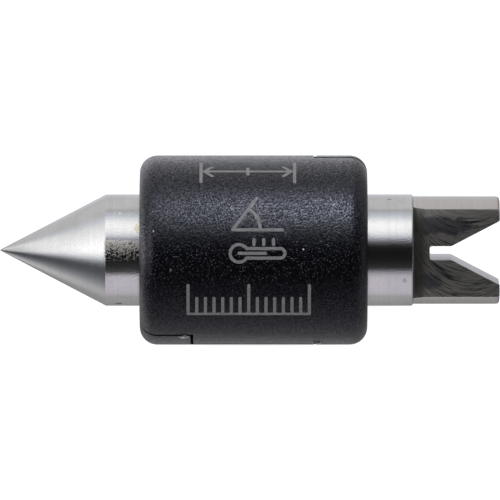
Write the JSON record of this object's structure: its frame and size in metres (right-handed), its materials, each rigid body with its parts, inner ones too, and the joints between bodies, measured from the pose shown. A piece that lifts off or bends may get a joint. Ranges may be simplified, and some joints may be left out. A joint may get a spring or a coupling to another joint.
{
  "type": "screw-thread micrometer setting standard",
  "caption": "Short steel setting gauge for screw-thread micrometers: a rod with a cone point, a fork with a vee notch and relief slot, and a round split plastic grip clipped round its middle.",
  "frame": {"origin": "centre of the bounding box, on the gauge's axis and halfway between the cone point and the fork's ends", "axes": "+X along the gauge's axis from the cone point to the fork, +Z normal to the fork's upper flat, +Y across the vee from the near jaw to the far jaw"},
  "size_m": [0.0284, 0.0108, 0.0108],
  "materials": {
    "rod_steel": "hardened steel, finely ground round the axis",
    "fork_steel": "steel, flats milled with arc-shaped cutter marks, turned edges satin",
    "ring_rubber": "black elastomer, matt",
    "grip_plastic": "black moulded plastic, fine satin texture"
  },
  "bodies": {
    "grip": {"upper_grip_shell": "grip_plastic", "lower_grip_shell": "grip_plastic"},
    "gauge": {"gauge_rod": "rod_steel", "vee_fork": "fork_steel", "left_friction_ring": "ring_rubber", "right_friction_ring": "ring_rubber"}
  },
  "joints": [
    {"name": "rod_turn", "type": "hinge", "parent": "grip", "child": "gauge", "pos_m": [0, 0, 0], "axis": [1, 0, 0], "continuous": true}
  ]
}
